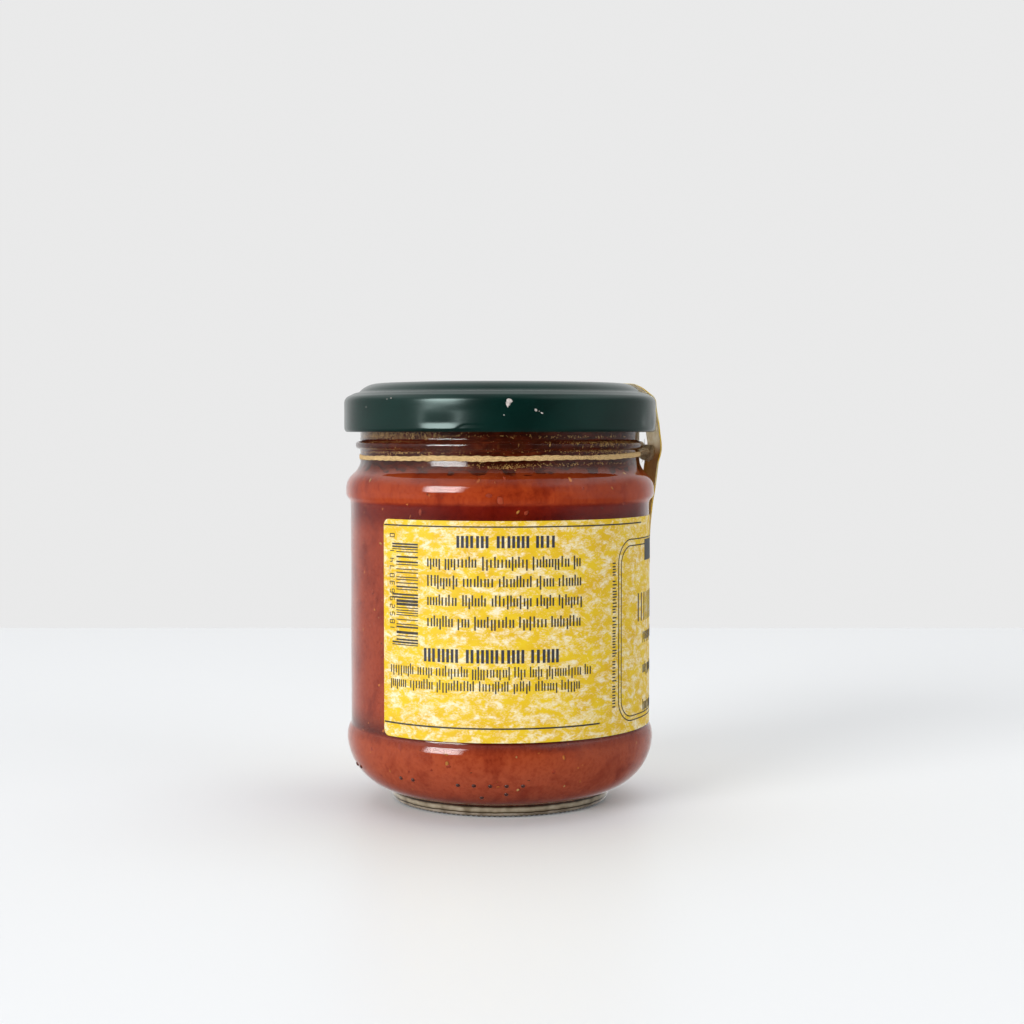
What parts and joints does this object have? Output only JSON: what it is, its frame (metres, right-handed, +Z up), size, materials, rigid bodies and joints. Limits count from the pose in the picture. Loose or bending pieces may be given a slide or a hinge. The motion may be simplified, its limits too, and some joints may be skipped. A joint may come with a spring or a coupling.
{
  "type": "jar of bruschetta topping",
  "caption": "Glass food jar of red bruschetta topping with a dark green twist-off lid, a wrap-round yellow paper label, a fibre tie with a knot and a paper seal strip.",
  "frame": {"origin": "on the jar's axis, in the plane of the foot ring that it stands on", "axes": "+Z up along the jar's axis; -Y is the side with the label's text panel; +X is about the middle of the label, where the seal strip comes down"},
  "size_m": [0.0712, 0.0694, 0.0926],
  "materials": {
    "clear_glass": "clear",
    "tomato_topping": "wet",
    "herb_oil": "wet",
    "green_lacquer": "gloss",
    "label_paper": "coated paper",
    "seal_paper": "uncoated paper",
    "plant_fibre": "matt"
  },
  "bodies": {
    "root": {"glass_jar": "clear_glass", "topping": "tomato_topping", "oil_layer": "herb_oil", "lid": "green_lacquer", "label": "label_paper", "seal_strip": "seal_paper", "neck_tie": "plant_fibre"}
  },
  "joints": []
}
